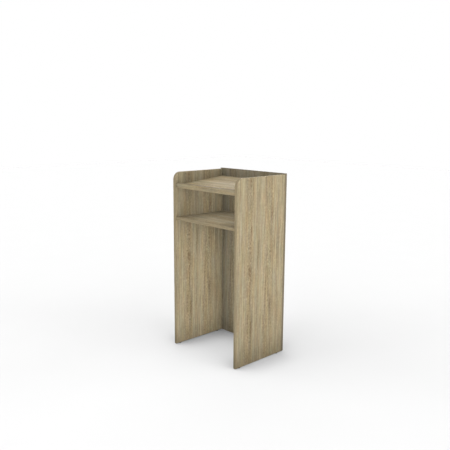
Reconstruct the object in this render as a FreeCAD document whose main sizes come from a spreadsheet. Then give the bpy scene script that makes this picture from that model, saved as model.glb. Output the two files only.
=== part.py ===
"""Panel lectern: two full-height sides, an overlaid back, a tilted reading board with a paper stop, and a shelf.

The boards are joined by cam locks and dowels, their open edges carry edge bands, and the sides stand on
four levelling glides. Millimetres, +Z up, the user stands at -Y, and the origin is on the floor under the
middle of the lectern.
"""
import FreeCAD, Part
import os
import re
import Sketcher

V = FreeCAD.Vector
X, Y, Z = V(1, 0, 0), V(0, 1, 0), V(0, 0, 1)

# Driving dimensions, in millimetres and degrees
SIZES = {
    # Whole lectern
    "width": 600,
    "depth": 450,
    "height": 1200,
    # Boards and their edge bands
    "board": 19,
    "band": 2,
    "side_drop": 6,
    "corner_radius": 50,
    # Tilted reading board, with the paper stop along its front
    "desk_drop": 90,
    "tilt": 5,
    "desk_gap": 0.3,
    "stop_setback": 10,
    "stop_rise": 14,
    # Shelf, below the front of the reading surface
    "shelf_drop": 215,
    "shelf_setback": 10,
    # Cam locks, with the slot that turns them and the cap that hides them
    "cam_dia": 15,
    "cam_length": 12.5,
    "cam_recess": 1,
    "cam_reach": 24,
    "slot_width": 2,
    "slot_length": 9,
    "slot_depth": 2.5,
    "cap_dia": 17.5,
    "cap_thickness": 1,
    "cap_edge": 0.4,
    "cap_spigot": 0.8,
    # Cam bolts
    "thread_dia": 5,
    "thread_length": 11,
    "shaft_dia": 7,
    "shaft_length": 13,
    "neck_dia": 4.5,
    "head_dia": 6.6,
    "head_length": 4,
    # Dowels
    "dowel_dia": 8,
    "dowel_in_face": 12,
    "dowel_in_edge": 20,
    "dowel_chamfer": 1,
    # Places of the joints along the boards
    "shelf_joint_inset": 75,
    "shelf_back_spread": 320,
    "desk_joint_inset": 60,
    "low_joint_height": 150,
    "below_shelf": 330,
    "dowel_pitch": 32,
    "stop_dowel_outer": 420,
    "stop_dowel_inner": 140,
    # Levelling glides
    "glide_inset": 40,
    "pad_dia": 18,
    "pad_height": 2.8,
    "pad_chamfer": 0.5,
    "socket_dia": 6,
    "socket_depth": 1.6,
    "hex_across": 12,
    "hex_height": 2,
    "stem_dia": 8,
    "stem_length": 34,
    "stem_room": 0.5,
    "insert_dia": 11,
    "insert_length": 18,
    # Clearances: round a fastener, round a turning stem, along a glide and past the end of a bore
    "fit": 0.05,
    "running_fit": 0.06,
    "glide_play": 0.1,
    "bore_spare": 1,
}

# Places that follow from the driving dimensions, as formulas in their names
PLACES = {
    "front": "(0 - depth / 2)",
    "inner_side": "(width / 2 - board)",
    "mid_side": "(width / 2 - board / 2)",
    "back_face": "(depth / 2 - board)",
    "floor_gap": "(pad_height + hex_height + 2 * glide_play)",
    "side_top": "(height - side_drop)",
    "desk_height": "(height - desk_drop)",
    "shelf_height": "(desk_height - shelf_drop)",
    "shelf_middle": "(shelf_height - board / 2)",
    "shelf_front_joint": "(front + shelf_joint_inset)",
    "shelf_rear_joint": "(back_face - shelf_joint_inset)",
    "shelf_front_dowel": "(shelf_front_joint + dowel_pitch)",
    "shelf_rear_dowel": "(shelf_rear_joint - dowel_pitch)",
    "desk_y": "(front + stop_setback + board * cos(tilt) + stop_rise * sin(tilt))",
    "desk_run": "((back_face - desk_gap - desk_y) / cos(tilt))",
    "desk_rear_joint": "(desk_run - desk_joint_inset)",
    "desk_front_dowel": "(desk_joint_inset + dowel_pitch)",
    "desk_rear_dowel": "(desk_rear_joint - dowel_pitch)",
    "middle_joint_height": "(shelf_height - board - below_shelf)",
    "high_joint_height": "((shelf_height + desk_height) / 2)",
    "front_glide": "(front + glide_inset)",
    "rear_glide": "(back_face - glide_inset)",
    "cam_bore": "(cam_dia + 2 * fit)",
    "cam_bore_depth": "(cam_recess + cam_length + bore_spare)",
    "thread_bore_depth": "(thread_length + bore_spare)",
    "dowel_bore": "(dowel_dia + 2 * fit)",
    "shaft_bore": "(shaft_dia + 2 * fit)",
    "thread_bore": "(thread_dia + 2 * fit)",
}
WORD = re.compile(r"[a-z_]{2,}")


def formula(text):
    """The text with each place written out and each driving dimension read from the sheet."""
    def spell(match):
        word = match.group()
        if word in PLACES:
            return formula(PLACES[word])
        return "Sizes." + word if word in SIZES else word
    return WORD.sub(spell, str(text))


doc = FreeCAD.newDocument("Lectern")
sheet = doc.addObject("Spreadsheet::Sheet", "Sizes")
for row, (word, value) in enumerate(SIZES.items(), 1):
    sheet.set(f"A{row}", str(value))
    sheet.setAlias(f"A{row}", word)
doc.recompute()

nodes = []


def bind(thing, **sizes):
    for size, text in sizes.items():
        thing.setExpression(size, formula(text))


def place(thing, spot, turn=FreeCAD.Rotation()):
    """Puts a thing at a spot given as three formulas, after a fixed turn."""
    thing.Placement = FreeCAD.Placement(V(), turn)
    for axis, text in zip("xyz", spot):
        thing.setExpression(f"Placement.Base.{axis}", formula(text))
    return thing


def tilt(thing):
    """Lays a thing that was modelled flat on the reading board's slope."""
    place(thing, (0, "desk_y", "desk_height"), FreeCAD.Rotation(X, 1))
    thing.setExpression("Placement.Rotation.Angle", formula("tilt"))
    return thing


def node(thing, name):
    """Names a finished sub-part and lists it for its file."""
    thing.Label = name
    nodes.append(thing)
    return thing


def sketch(body, plane, corners):
    """A closed outline on one of the body's origin planes, each corner held at its two formulas."""
    outline = body.newObject("Sketcher::SketchObject", body.Name + "_outline")
    outline.AttachmentSupport = (next(f for f in body.Origin.OriginFeatures if f.Role == plane), "")
    outline.MapMode = "FlatFace"
    count = len(corners)
    starts = [V(10 * (i % 3), 10 * i, 0) for i in range(count)]
    for i in range(count):
        outline.addGeometry(Part.LineSegment(starts[i], starts[(i + 1) % count]), False)
    for i in range(count):
        outline.addConstraint(Sketcher.Constraint("Coincident", i, 2, (i + 1) % count, 1))
    for i, corner in enumerate(corners):
        for kind, start, text in zip(("DistanceX", "DistanceY"), starts[i], corner):
            held = outline.addConstraint(Sketcher.Constraint(kind, -1, 1, i, 1, start))
            outline.setExpression(f"Constraints[{held}]", formula(text))
    return outline


def turned(name, profile):
    """A lathe-turned piece about +Z, from its profile of radius and height."""
    body = doc.addObject("PartDesign::Body", name)
    outline = sketch(body, "XZ_Plane", profile)
    turn = body.newObject("PartDesign::Revolution", name + "_turn")
    turn.Profile = outline
    turn.ReferenceAxis = (outline, ["V_Axis"])
    turn.Angle = 360
    return body


def sawn(name, corners, length):
    """A board sawn to an outline of y and z, and that long along +X."""
    body = doc.addObject("PartDesign::Body", name)
    cut = body.newObject("PartDesign::Pad", name + "_pad")
    cut.Profile = sketch(body, "YZ_Plane", corners)
    bind(cut, Length=length)
    body.Tip = cut
    return body


def block(name, low, size):
    """A rectangular piece from its low corner."""
    box = place(doc.addObject("Part::Box", name), low)
    bind(box, Length=size[0], Width=size[1], Height=size[2])
    return box


def rod(name, start, along, diameter, length):
    """A round bar, or the cut of a drill, from its start along a direction."""
    bar = place(doc.addObject("Part::Cylinder", name), start, FreeCAD.Rotation(Z, along))
    bind(bar, Radius=f"({diameter}) / 2", Height=length)
    return bar


def drilled(blank, bores):
    """The blank with its bores cut out of it."""
    drill = doc.addObject("Part::MultiFuse", blank.Name + "_bores")
    drill.Shapes = bores
    board = doc.addObject("Part::Cut", blank.Name + "_drilled")
    board.Base = blank
    board.Tool = drill
    return board


def copies(name, master, spots):
    """One node of separate equal fasteners, each a copy of the master with its own turn and spot."""
    links = []
    for i, (turn, spot) in enumerate(spots, 1):
        link = doc.addObject("App::Link", f"{name}_{i}")
        link.LinkedObject = master
        links.append(place(link, spot, turn))
    group = doc.addObject("Part::Compound", name)
    group.Links = links
    return node(group, name)


def facing(out, edge):
    """The turn of a cam whose slotted face looks out of its board and whose mouth points at the edge."""
    return FreeCAD.Rotation(V(), edge * -1, out, "ZYX")


def pointing(along):
    return FreeCAD.Rotation(Z, along)


# The masters of the repeated fasteners

cam_blank = rod("cam_blank", (0, 0, "0 - cam_recess - cam_length"), Z, "cam_dia", "cam_length")
cam_cuts = [
    rod("cam_mouth", (0, 0, "0 - board / 2"), Y * -1, "neck_dia + 4 * fit", "cam_dia"),
    rod("cam_pocket", (0, "0 - head_length / 2 - 2 * fit", "0 - board / 2"), Y,
        "head_dia + 4 * fit", "head_length + 4 * fit"),
    block("cam_slot_x", ("0 - slot_length / 2", "0 - slot_width / 2", "0 - cam_recess - slot_depth"),
          ("slot_length", "slot_width", "slot_depth")),
    block("cam_slot_y", ("0 - slot_width / 2", "0 - slot_length / 2", "0 - cam_recess - slot_depth"),
          ("slot_width", "slot_length", "slot_depth")),
]
cam = drilled(cam_blank, cam_cuts)

bolt = turned("bolt", [
    (0, "0 - thread_length"),
    ("thread_dia / 2", "0 - thread_length"),
    ("thread_dia / 2", 0),
    ("shaft_dia / 2", 0),
    ("shaft_dia / 2", "shaft_length"),
    ("neck_dia / 2", "shaft_length"),
    ("neck_dia / 2", "cam_reach - head_length / 2"),
    ("head_dia / 2", "cam_reach - head_length / 2"),
    ("head_dia / 2", "cam_reach + head_length / 2"),
    (0, "cam_reach + head_length / 2"),
])

dowel = turned("dowel", [
    (0, "0 - dowel_in_face"),
    ("dowel_dia / 2 - dowel_chamfer", "0 - dowel_in_face"),
    ("dowel_dia / 2", "dowel_chamfer - dowel_in_face"),
    ("dowel_dia / 2", "dowel_in_edge - dowel_chamfer"),
    ("dowel_dia / 2 - dowel_chamfer", "dowel_in_edge"),
    (0, "dowel_in_edge"),
])

cap = turned("cap", [
    (0, "0 - cap_spigot"),
    ("cam_dia / 2", "0 - cap_spigot"),
    ("cam_dia / 2", 0),
    ("cap_dia / 2", 0),
    ("cap_dia / 2", "cap_thickness - cap_edge"),
    ("cap_dia / 2 - cap_edge", "cap_thickness"),
    (0, "cap_thickness"),
])

insert = turned("insert", [
    ("stem_dia / 2 + running_fit", 0),
    ("insert_dia / 2", 0),
    ("insert_dia / 2", "insert_length"),
    ("stem_dia / 2 + running_fit", "insert_length"),
])

# Heights at which the back is locked to the sides, and the spots of the other joints

back_heights = ("low_joint_height", "middle_joint_height", "high_joint_height")
back_dowel_heights = [f"{height} + dowel_pitch" for height in back_heights]
shelf_joints = ("shelf_front_joint", "shelf_rear_joint")
shelf_dowel_spots = ("shelf_front_dowel", "shelf_rear_dowel")
desk_joints = ("desk_joint_inset", "desk_rear_joint")
desk_dowel_spots = ("desk_front_dowel", "desk_rear_dowel")
glide_spots = {"front": "front_glide", "rear": "rear_glide"}


def on_slope(run):
    """The y and z, in the lectern's frame, of a spot half way through the reading board."""
    y = f"desk_y + ({run}) * cos(tilt) + board / 2 * sin(tilt)"
    z = f"desk_height + ({run}) * sin(tilt) - board / 2 * cos(tilt)"
    return y, z


# Side panels, their edge bands, and the bores for all that meets them

def side_blank(name, edge):
    """A side panel's outline less an edge's thickness, with its front top corner rounded."""
    body = sawn(name, [
        (f"front + {edge}", "floor_gap"),
        ("back_face", "floor_gap"),
        ("back_face", f"side_top - {edge}"),
        (f"front + {edge}", f"side_top - {edge}"),
    ], "board")
    doc.recompute()
    square = body.Tip
    edges = square.Shape.Edges
    corner = max(range(len(edges)), key=lambda i: edges[i].CenterOfMass.dot(Z - Y))
    rounding = body.newObject("PartDesign::Fillet", name + "_corner")
    rounding.Base = (square, [f"Edge{corner + 1}"])
    bind(rounding, Radius=f"corner_radius - {edge}")
    body.Tip = rounding
    return body


for side, hand in (("left", -1), ("right", 1)):
    inward = X * -hand
    face_x = f"{hand} * inner_side"
    low_x = "0 - width / 2" if hand < 0 else "inner_side"
    blank = place(side_blank(side + "_side_blank", "band"), (low_x, 0, 0))
    whole = place(side_blank(side + "_side_whole", "0"), (low_x, 0, 0))
    bores = []
    for y in shelf_joints:
        bores.append(rod(side + "_shelf_thread", (face_x, y, "shelf_middle"), X * hand,
                         "thread_bore", "thread_bore_depth"))
    for y in shelf_dowel_spots:
        bores.append(rod(side + "_shelf_dowel", (face_x, y, "shelf_middle"), X * hand,
                         "dowel_bore", "dowel_in_face + bore_spare"))
    for run in desk_joints:
        bores.append(rod(side + "_desk_thread", (face_x, *on_slope(run)), X * hand,
                         "thread_bore", "thread_bore_depth"))
    for run in desk_dowel_spots:
        bores.append(rod(side + "_desk_dowel", (face_x, *on_slope(run)), X * hand,
                         "dowel_bore", "dowel_in_face + bore_spare"))
    for height in back_heights:
        bores.append(rod(side + "_back_cam", (face_x, "back_face - cam_reach", height), X * hand,
                         "cam_bore", "cam_bore_depth"))
        bores.append(rod(side + "_back_shaft", (f"{hand} * mid_side", "back_face", height), Y * -1,
                         "shaft_bore", "cam_reach"))
    for height in back_dowel_heights:
        bores.append(rod(side + "_back_dowel", (f"{hand} * mid_side", "back_face", height), Y * -1,
                         "dowel_bore", "dowel_in_edge + bore_spare"))
    for y in glide_spots.values():
        bores.append(rod(side + "_insert", (f"{hand} * mid_side", y, "floor_gap"), Z,
                         "insert_dia + 2 * fit", "insert_length"))
        bores.append(rod(side + "_stem", (f"{hand} * mid_side", y, "floor_gap"), Z,
                         "stem_dia + 2 * stem_room", "stem_length + bore_spare"))
    node(drilled(blank, bores), side + "_side_panel")
    strip = doc.addObject("Part::Cut", side + "_side_strip")
    strip.Base = whole
    strip.Tool = blank
    node(strip, side + "_side_edge_band")

# Back panel, overlaid on the rear edges of the sides, and its edge bands

back_blank = block("back_blank", ("band - width / 2", "back_face", "floor_gap"),
                   ("width - 2 * band", "board", "height - band - floor_gap"))
back_bores = []
for hand in (-1, 1):
    for height in back_heights:
        back_bores.append(rod("back_thread", (f"{hand} * mid_side", "back_face", height), Y,
                              "thread_bore", "thread_bore_depth"))
    for height in back_dowel_heights:
        back_bores.append(rod("back_dowel", (f"{hand} * mid_side", "back_face", height), Y,
                              "dowel_bore", "dowel_in_face + bore_spare"))
    back_bores.append(rod("back_shelf_thread", (f"{hand} * shelf_back_spread / 2", "back_face", "shelf_middle"), Y,
                          "thread_bore", "thread_bore_depth"))
    back_bores.append(rod("back_shelf_dowel",
                          (f"{hand} * (shelf_back_spread / 2 + dowel_pitch)", "back_face", "shelf_middle"), Y,
                          "dowel_bore", "dowel_in_face + bore_spare"))
node(drilled(back_blank, back_bores), "back_panel")
node(block("back_top", ("0 - width / 2", "back_face", "height - band"), ("width", "board", "band")),
     "back_top_edge_band")
for side, x in (("left", "0 - width / 2"), ("right", "width / 2 - band")):
    node(block(f"back_{side}", (x, "back_face", "floor_gap"), ("band", "board", "height - band - floor_gap")),
         f"back_{side}_edge_band")

# Shelf and its front edge band

shelf_front = "front + shelf_setback"
shelf_blank = block("shelf_blank", ("0 - inner_side", f"{shelf_front} + band", "shelf_height - board"),
                    ("2 * inner_side", f"back_face - ({shelf_front}) - band", "board"))
shelf_bores = []
for hand in (-1, 1):
    for y in shelf_joints:
        shelf_bores.append(rod("shelf_end_shaft", (f"{hand} * inner_side", y, "shelf_middle"), X * -hand,
                               "shaft_bore", "cam_reach"))
        shelf_bores.append(rod("shelf_end_cam",
                               (f"{hand} * (inner_side - cam_reach)", y, "shelf_height - board"), Z,
                               "cam_bore", "cam_bore_depth"))
    for y in shelf_dowel_spots:
        shelf_bores.append(rod("shelf_end_dowel", (f"{hand} * inner_side", y, "shelf_middle"), X * -hand,
                               "dowel_bore", "dowel_in_edge + bore_spare"))
    shelf_bores.append(rod("shelf_rear_shaft", (f"{hand} * shelf_back_spread / 2", "back_face", "shelf_middle"),
                           Y * -1, "shaft_bore", "cam_reach"))
    shelf_bores.append(rod("shelf_rear_cam",
                           (f"{hand} * shelf_back_spread / 2", "back_face - cam_reach", "shelf_height - board"), Z,
                           "cam_bore", "cam_bore_depth"))
    shelf_bores.append(rod("shelf_rear_dowel",
                           (f"{hand} * (shelf_back_spread / 2 + dowel_pitch)", "back_face", "shelf_middle"),
                           Y * -1, "dowel_bore", "dowel_in_edge + bore_spare"))
node(drilled(shelf_blank, shelf_bores), "shelf")
node(block("shelf_strip", ("0 - inner_side", shelf_front, "shelf_height - board"),
           ("2 * inner_side", "band", "board")), "shelf_edge_band")

# Reading board and paper stop, modelled flat with the origin on the front edge of the reading surface

desk_blank = place(sawn("desk_blank", [
    (0, 0),
    (0, "0 - board"),
    ("desk_run - board * tan(tilt)", "0 - board"),
    ("desk_run", 0),
], "2 * inner_side"), ("0 - inner_side", 0, 0))
desk_bores = []
stop_bores = []
for hand in (-1, 1):
    for run in desk_joints:
        desk_bores.append(rod("desk_end_shaft", (f"{hand} * inner_side", run, "0 - board / 2"), X * -hand,
                              "shaft_bore", "cam_reach"))
        desk_bores.append(rod("desk_end_cam", (f"{hand} * (inner_side - cam_reach)", run, "0 - board"), Z,
                              "cam_bore", "cam_bore_depth"))
    for run in desk_dowel_spots:
        desk_bores.append(rod("desk_end_dowel", (f"{hand} * inner_side", run, "0 - board / 2"), X * -hand,
                              "dowel_bore", "dowel_in_edge + bore_spare"))
    for spread in ("stop_dowel_outer", "stop_dowel_inner"):
        desk_bores.append(rod("desk_front_dowel", (f"{hand} * {spread} / 2", 0, "0 - board / 2"), Y,
                              "dowel_bore", "dowel_in_edge + bore_spare"))
        stop_bores.append(rod("stop_dowel", (f"{hand} * {spread} / 2", 0, "0 - board / 2"), Y * -1,
                              "dowel_bore", "dowel_in_face + bore_spare"))
node(tilt(drilled(desk_blank, desk_bores)), "reading_board")

stop_blank = block("stop_blank", ("0 - inner_side", "0 - board", "band - board"),
                   ("2 * inner_side", "board", "board + stop_rise - 2 * band"))
node(tilt(drilled(stop_blank, stop_bores)), "paper_stop")
for side, low in (("top", "stop_rise - band"), ("bottom", "0 - board")):
    strip = block(f"stop_{side}", ("0 - inner_side", "0 - board", low), ("2 * inner_side", "board", "band"))
    laid = doc.addObject("Part::Compound", f"stop_{side}_laid")
    laid.Links = [strip]
    node(tilt(laid), f"paper_stop_{side}_edge_band")

# Cam locks, bolts, dowels and caps of each joint

shelf_cam_spots = []
shelf_bolt_spots = []
shelf_pin_spots = []
desk_cam_spots = []
desk_bolt_spots = []
desk_pin_spots = []
back_cam_spots = []
back_bolt_spots = []
back_pin_spots = []
for hand in (-1, 1):
    outward = X * hand
    for y in shelf_joints:
        shelf_cam_spots.append((facing(Z * -1, outward),
                                (f"{hand} * (inner_side - cam_reach)", y, "shelf_height - board")))
        shelf_bolt_spots.append((pointing(outward * -1), (f"{hand} * inner_side", y, "shelf_middle")))
    for y in shelf_dowel_spots:
        shelf_pin_spots.append((pointing(outward * -1), (f"{hand} * inner_side", y, "shelf_middle")))
    shelf_cam_spots.append((facing(Z * -1, Y),
                            (f"{hand} * shelf_back_spread / 2", "back_face - cam_reach", "shelf_height - board")))
    shelf_bolt_spots.append((pointing(Y * -1), (f"{hand} * shelf_back_spread / 2", "back_face", "shelf_middle")))
    shelf_pin_spots.append((pointing(Y * -1),
                            (f"{hand} * (shelf_back_spread / 2 + dowel_pitch)", "back_face", "shelf_middle")))
    for run in desk_joints:
        desk_cam_spots.append((facing(Z * -1, outward), (f"{hand} * (inner_side - cam_reach)", run, "0 - board")))
        desk_bolt_spots.append((pointing(outward * -1), (f"{hand} * inner_side", run, "0 - board / 2")))
    for run in desk_dowel_spots:
        desk_pin_spots.append((pointing(outward * -1), (f"{hand} * inner_side", run, "0 - board / 2")))
    for height in back_heights:
        back_cam_spots.append((facing(outward * -1, Y), (f"{hand} * inner_side", "back_face - cam_reach", height)))
        back_bolt_spots.append((pointing(Y * -1), (f"{hand} * mid_side", "back_face", height)))
    for height in back_dowel_heights:
        back_pin_spots.append((pointing(Y * -1), (f"{hand} * mid_side", "back_face", height)))

copies("shelf_cams", cam, shelf_cam_spots)
copies("shelf_cam_bolts", bolt, shelf_bolt_spots)
copies("shelf_cam_caps", cap, shelf_cam_spots)
copies("shelf_dowels", dowel, shelf_pin_spots)
tilt(copies("reading_board_cams", cam, desk_cam_spots))
tilt(copies("reading_board_cam_bolts", bolt, desk_bolt_spots))
tilt(copies("reading_board_cam_caps", cap, desk_cam_spots))
tilt(copies("reading_board_dowels", dowel, desk_pin_spots))
copies("back_cams", cam, back_cam_spots)
copies("back_cam_bolts", bolt, back_bolt_spots)
copies("back_cam_caps", cap, back_cam_spots)
copies("back_dowels", dowel, back_pin_spots)
tilt(copies("paper_stop_dowels", dowel, [
    (pointing(Y), (f"{hand} * {spread} / 2", 0, "0 - board / 2"))
    for hand in (-1, 1) for spread in ("stop_dowel_outer", "stop_dowel_inner")
]))

# Levelling glides: a threaded insert in the side, a stem with a spanner hexagon, and a pad that stays still

copies("glide_inserts", insert, [
    (FreeCAD.Rotation(), (f"{hand} * mid_side", y, "floor_gap")) for hand in (-1, 1) for y in glide_spots.values()
])
for side, hand in (("left", -1), ("right", 1)):
    for end, y in glide_spots.items():
        spot = f"{end}_{side}"
        x = f"{hand} * mid_side"
        pad = turned(f"pad_{spot}", [
            (0, 0),
            ("pad_dia / 2 - pad_chamfer", 0),
            ("pad_dia / 2", "pad_chamfer"),
            ("pad_dia / 2", "pad_height"),
            ("socket_dia / 2 + running_fit", "pad_height"),
            ("socket_dia / 2 + running_fit", "pad_height - socket_depth"),
            (0, "pad_height - socket_depth"),
        ])
        node(place(pad, (x, y, 0)), f"glide_pad_{spot}")
        hexagon = place(doc.addObject("Part::Prism", f"hexagon_{spot}"), (x, y, "pad_height + glide_play"))
        hexagon.Polygon = 6
        bind(hexagon, Circumradius="hex_across / 2 / cos(30)", Height="hex_height")
        stem = doc.addObject("Part::MultiFuse", f"stem_{spot}")
        stem.Shapes = [
            rod(f"spigot_{spot}", (x, y, "pad_height + glide_play - socket_depth"), Z, "socket_dia", "socket_depth"),
            hexagon,
            rod(f"screw_{spot}", (x, y, "floor_gap - glide_play"), Z, "stem_dia", "stem_length"),
        ]
        node(stem, f"glide_stem_{spot}")

# Every object must have worked out before any file is written

doc.recompute()
for thing in doc.Objects:
    if "Invalid" in thing.State or "Error" in thing.State:
        raise RuntimeError(f"{thing.Label}: {thing.State}")
for piece in nodes:
    if piece.Shape.isNull() or not piece.Shape.isValid() or not piece.Shape.Solids:
        raise RuntimeError(f"{piece.Label}: no valid solid")

os.makedirs("parts", exist_ok=True)
for piece in nodes:
    piece.Shape.exportStep(f"parts/{piece.Label}.step")
    print(f"{piece.Label}: {len(piece.Shape.Solids)} solid(s), {piece.Shape.Volume / 1000:.2f} cm3")
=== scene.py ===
# %% [markdown]
# # A panel lectern in an oak print
#
# The object is a standing lectern made of 19 mm boards: two tall sides, a back, a shelf, and a reading
# board that slopes towards the speaker and ends in a low paper stop. The boards come from a CAD model at
# their real size, and nothing here moves or resizes them. This lesson adds what a CAD model lacks: the
# printed oak on the boards, rounded edge bands, turned caps and glides, and a white studio to see them in.
#
# Everything is in metres, in the CAD model's own frame: Z is up, and the speaker stands at -Y.

# %% Load the frame
import math

import bpy
import numpy as np
from mathutils import Matrix, Vector


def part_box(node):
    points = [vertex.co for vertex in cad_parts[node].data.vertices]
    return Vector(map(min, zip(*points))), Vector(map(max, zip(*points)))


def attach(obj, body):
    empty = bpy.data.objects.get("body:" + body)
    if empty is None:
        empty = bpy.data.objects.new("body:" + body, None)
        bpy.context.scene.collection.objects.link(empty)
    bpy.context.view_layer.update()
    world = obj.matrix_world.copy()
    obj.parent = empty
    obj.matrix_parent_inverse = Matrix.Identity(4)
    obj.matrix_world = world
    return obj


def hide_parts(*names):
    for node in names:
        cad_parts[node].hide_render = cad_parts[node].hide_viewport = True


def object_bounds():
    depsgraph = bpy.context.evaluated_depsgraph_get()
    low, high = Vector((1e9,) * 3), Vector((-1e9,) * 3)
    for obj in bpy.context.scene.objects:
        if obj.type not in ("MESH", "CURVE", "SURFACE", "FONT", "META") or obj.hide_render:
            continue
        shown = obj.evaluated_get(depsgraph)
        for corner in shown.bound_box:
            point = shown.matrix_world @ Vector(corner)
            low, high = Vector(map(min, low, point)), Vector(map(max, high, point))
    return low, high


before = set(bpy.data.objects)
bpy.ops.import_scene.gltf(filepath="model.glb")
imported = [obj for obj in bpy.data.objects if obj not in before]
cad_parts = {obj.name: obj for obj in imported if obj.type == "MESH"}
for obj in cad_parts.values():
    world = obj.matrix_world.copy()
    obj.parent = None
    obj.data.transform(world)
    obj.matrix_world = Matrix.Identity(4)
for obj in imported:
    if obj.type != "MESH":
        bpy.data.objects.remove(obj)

MM = 0.001
X, Y, Z = 0, 1, 2
cad_box = [list(corner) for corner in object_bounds()]
print("nodes", len(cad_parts), "CAD box", cad_box)

# %% [markdown]
# ## Shader maths as Python
#
# A finish is a formula: the oak's tone is a sum of noises, each drawn out along the grain. Wiring dozens of
# Math nodes by hand would hide that formula, so one small class wraps a socket and lets Python's own
# operators add the nodes. Any node that isn't plain arithmetic comes from the class's one `node` method, and
# the nodes that several finishes share have short names of their own.

# %% A socket that can be added and multiplied
class Shade:
    """An output socket of a material's tree. Arithmetic on it adds Math nodes to that tree."""

    def __init__(self, tree, socket=None):
        self.tree = tree
        self.socket = socket

    def node(self, kind, settings, inputs, output=0):
        """Adds a node: its settings first, then each input's value or link. Returns one of its outputs."""
        made = self.tree.nodes.new("ShaderNode" + kind)
        for name, value in settings.items():
            if name == "stops":
                elements = made.color_ramp.elements
                for i, (place, tint) in enumerate(value):
                    stop = elements[i] if i < len(elements) else elements.new(place)
                    stop.position, stop.color = place, tint
            else:
                setattr(made, name, value)
        for name, value in inputs.items():
            if isinstance(value, Shade):
                self.tree.links.new(value.socket, made.inputs[name])
            else:
                made.inputs[name].default_value = value
        return Shade(self.tree, made.outputs[output])

    def maths(self, operation, *values, clamp=False):
        return self.node("Math", {"operation": operation, "use_clamp": clamp}, dict(enumerate(values)))

    def __add__(self, other):
        return self.maths("ADD", self, other)

    def __sub__(self, other):
        return self.maths("SUBTRACT", self, other)

    def __rsub__(self, other):
        return self.maths("SUBTRACT", other, self)

    def __mul__(self, other):
        return self.maths("MULTIPLY", self, other)

    def __gt__(self, other):
        return self.maths("GREATER_THAN", self, other)

    def __abs__(self):
        return self.maths("ABSOLUTE", self)

    __radd__ = __add__
    __rmul__ = __mul__

    def scaled(self, factor, shift):
        """factor times this value, plus shift."""
        return self.maths("MULTIPLY_ADD", self, factor, shift)

    def swing(self, reach):
        """A noise from 0 to 1 as a push to either side, reach from end to end."""
        return self.scaled(reach, -reach / 2)

    def bell(self):
        """e to the power of minus this value: 1 where it is 0, and fading as it grows."""
        return self.maths("EXPONENT", self * -1.0)

    def share(self):
        """The value held between 0 and 1."""
        return self.maths("ADD", self, 0.0, clamp=True)

    def mix(self, first, second):
        """The first colour where this value is 0, the second where it is 1."""
        return self.node("Mix", {"data_type": "RGBA"}, {0: self, 6: first, 7: second}, 2)

    def multiplied_by(self, shade):
        """This colour times a shade."""
        settings = {"data_type": "RGBA", "blend_type": "MULTIPLY"}
        return self.node("Mix", settings, {0: 1.0, 6: self, 7: shade}, 2)

    def place(self):
        """The point on the piece, in metres."""
        return self.node("TexCoord", {}, {}, "Object")

    def looks(self, axis):
        """How far the surface looks along an axis, from -1 to 1."""
        return self.node("SeparateXYZ", {}, {0: self.node("TexCoord", {}, {}, "Normal")}, axis)

    def noise(self, place, scale, detail=2.0):
        """Cloudy noise from 0 to 1, with about `scale` patches per unit of place."""
        return self.node("TexNoise", {}, {"Vector": place, "Scale": scale, "Detail": detail})

    def bump(self, height, strength, depth):
        """A normal that leans as if the surface rose by up to depth metres with the height."""
        return self.node("Bump", {}, {"Strength": strength, "Distance": depth, "Height": height})


print("a socket can be", [name for name in vars(Shade) if not name.startswith("__")])

# %% [markdown]
# A finish is described by a function that gets an empty `Shade` of the new material, called `paint`, and
# gives back what goes into the sockets of one Principled shader. Numbers that are the same all over go
# straight into their sockets.

# %% From a description to a material
def finish(name, describe):
    """A new material, whose surface takes the values that describe(paint) gives for its shader's sockets."""
    material = bpy.data.materials.new(name)
    material.use_nodes = True
    material.node_tree.nodes.clear()
    paint = Shade(material.node_tree)
    surface = paint.node("BsdfPrincipled", {}, describe(paint))
    output = material.node_tree.nodes.new("ShaderNodeOutputMaterial")
    material.node_tree.links.new(surface.socket, output.inputs["Surface"])
    print("finish", name, "has", len(material.node_tree.nodes), "nodes")
    return material


def dress(material, *names):
    """Puts a finish on CAD nodes."""
    for name in names:
        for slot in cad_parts[name].material_slots:
            slot.material = material
        print(name, "is dressed in", material.name)


print("plain materials that came with the CAD model", len(bpy.data.materials))

# %% [markdown]
# ## Colours
#
# Colours are easiest to pick on screen, as numbers from 0 to 255, but a shader works in linear light. The
# side that faces the light in this studio gets a little more light than a white card needs to look white, so
# each picked colour is also divided by that light: then the lit side shows the colour that was picked.

# %% From a picked colour to a shader's colour
FACE_LIGHT = 1.25


def colour(red, green, blue):
    """A colour picked on the lit side, from 0 to 255, as the share of light that the surface gives back."""
    screen = np.array([red, green, blue]) / 255
    light = np.where(screen <= 0.04045, screen / 12.92, ((screen + 0.055) / 1.055) ** 2.4)
    return (*(light / FACE_LIGHT).tolist(), 1.0)


PALE = colour(205, 189, 153)
MIDDLE = colour(177, 161, 128)
DARK = colour(135, 121, 94)
KNOT = colour(128, 101, 71)
print("oak gives back", [round(c, 3) for c in MIDDLE[:3]])

# %% [markdown]
# ## The oak print
#
# The boards are chipboard under a printed paper that shows rough-sawn oak: long pale and dark growth bands,
# finer streaks inside them, faint marks of the saw across them, and a few brown knots that push the fibres
# aside. A picture of oak would be the quick way, but a formula stays sharp at any distance and lets every
# board take its own place on one big sheet.
#
# All distances on the sheet are in millimetres, `across` and `along` the grain. A noise that is divided by a
# small width and a large length turns into streaks. Growth bands are placed across the sheet, some of them
# browner than others, and each says how pale the oak is there.

# %% Streaks and growth bands
SHEET_WIDTH = 430.0
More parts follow.
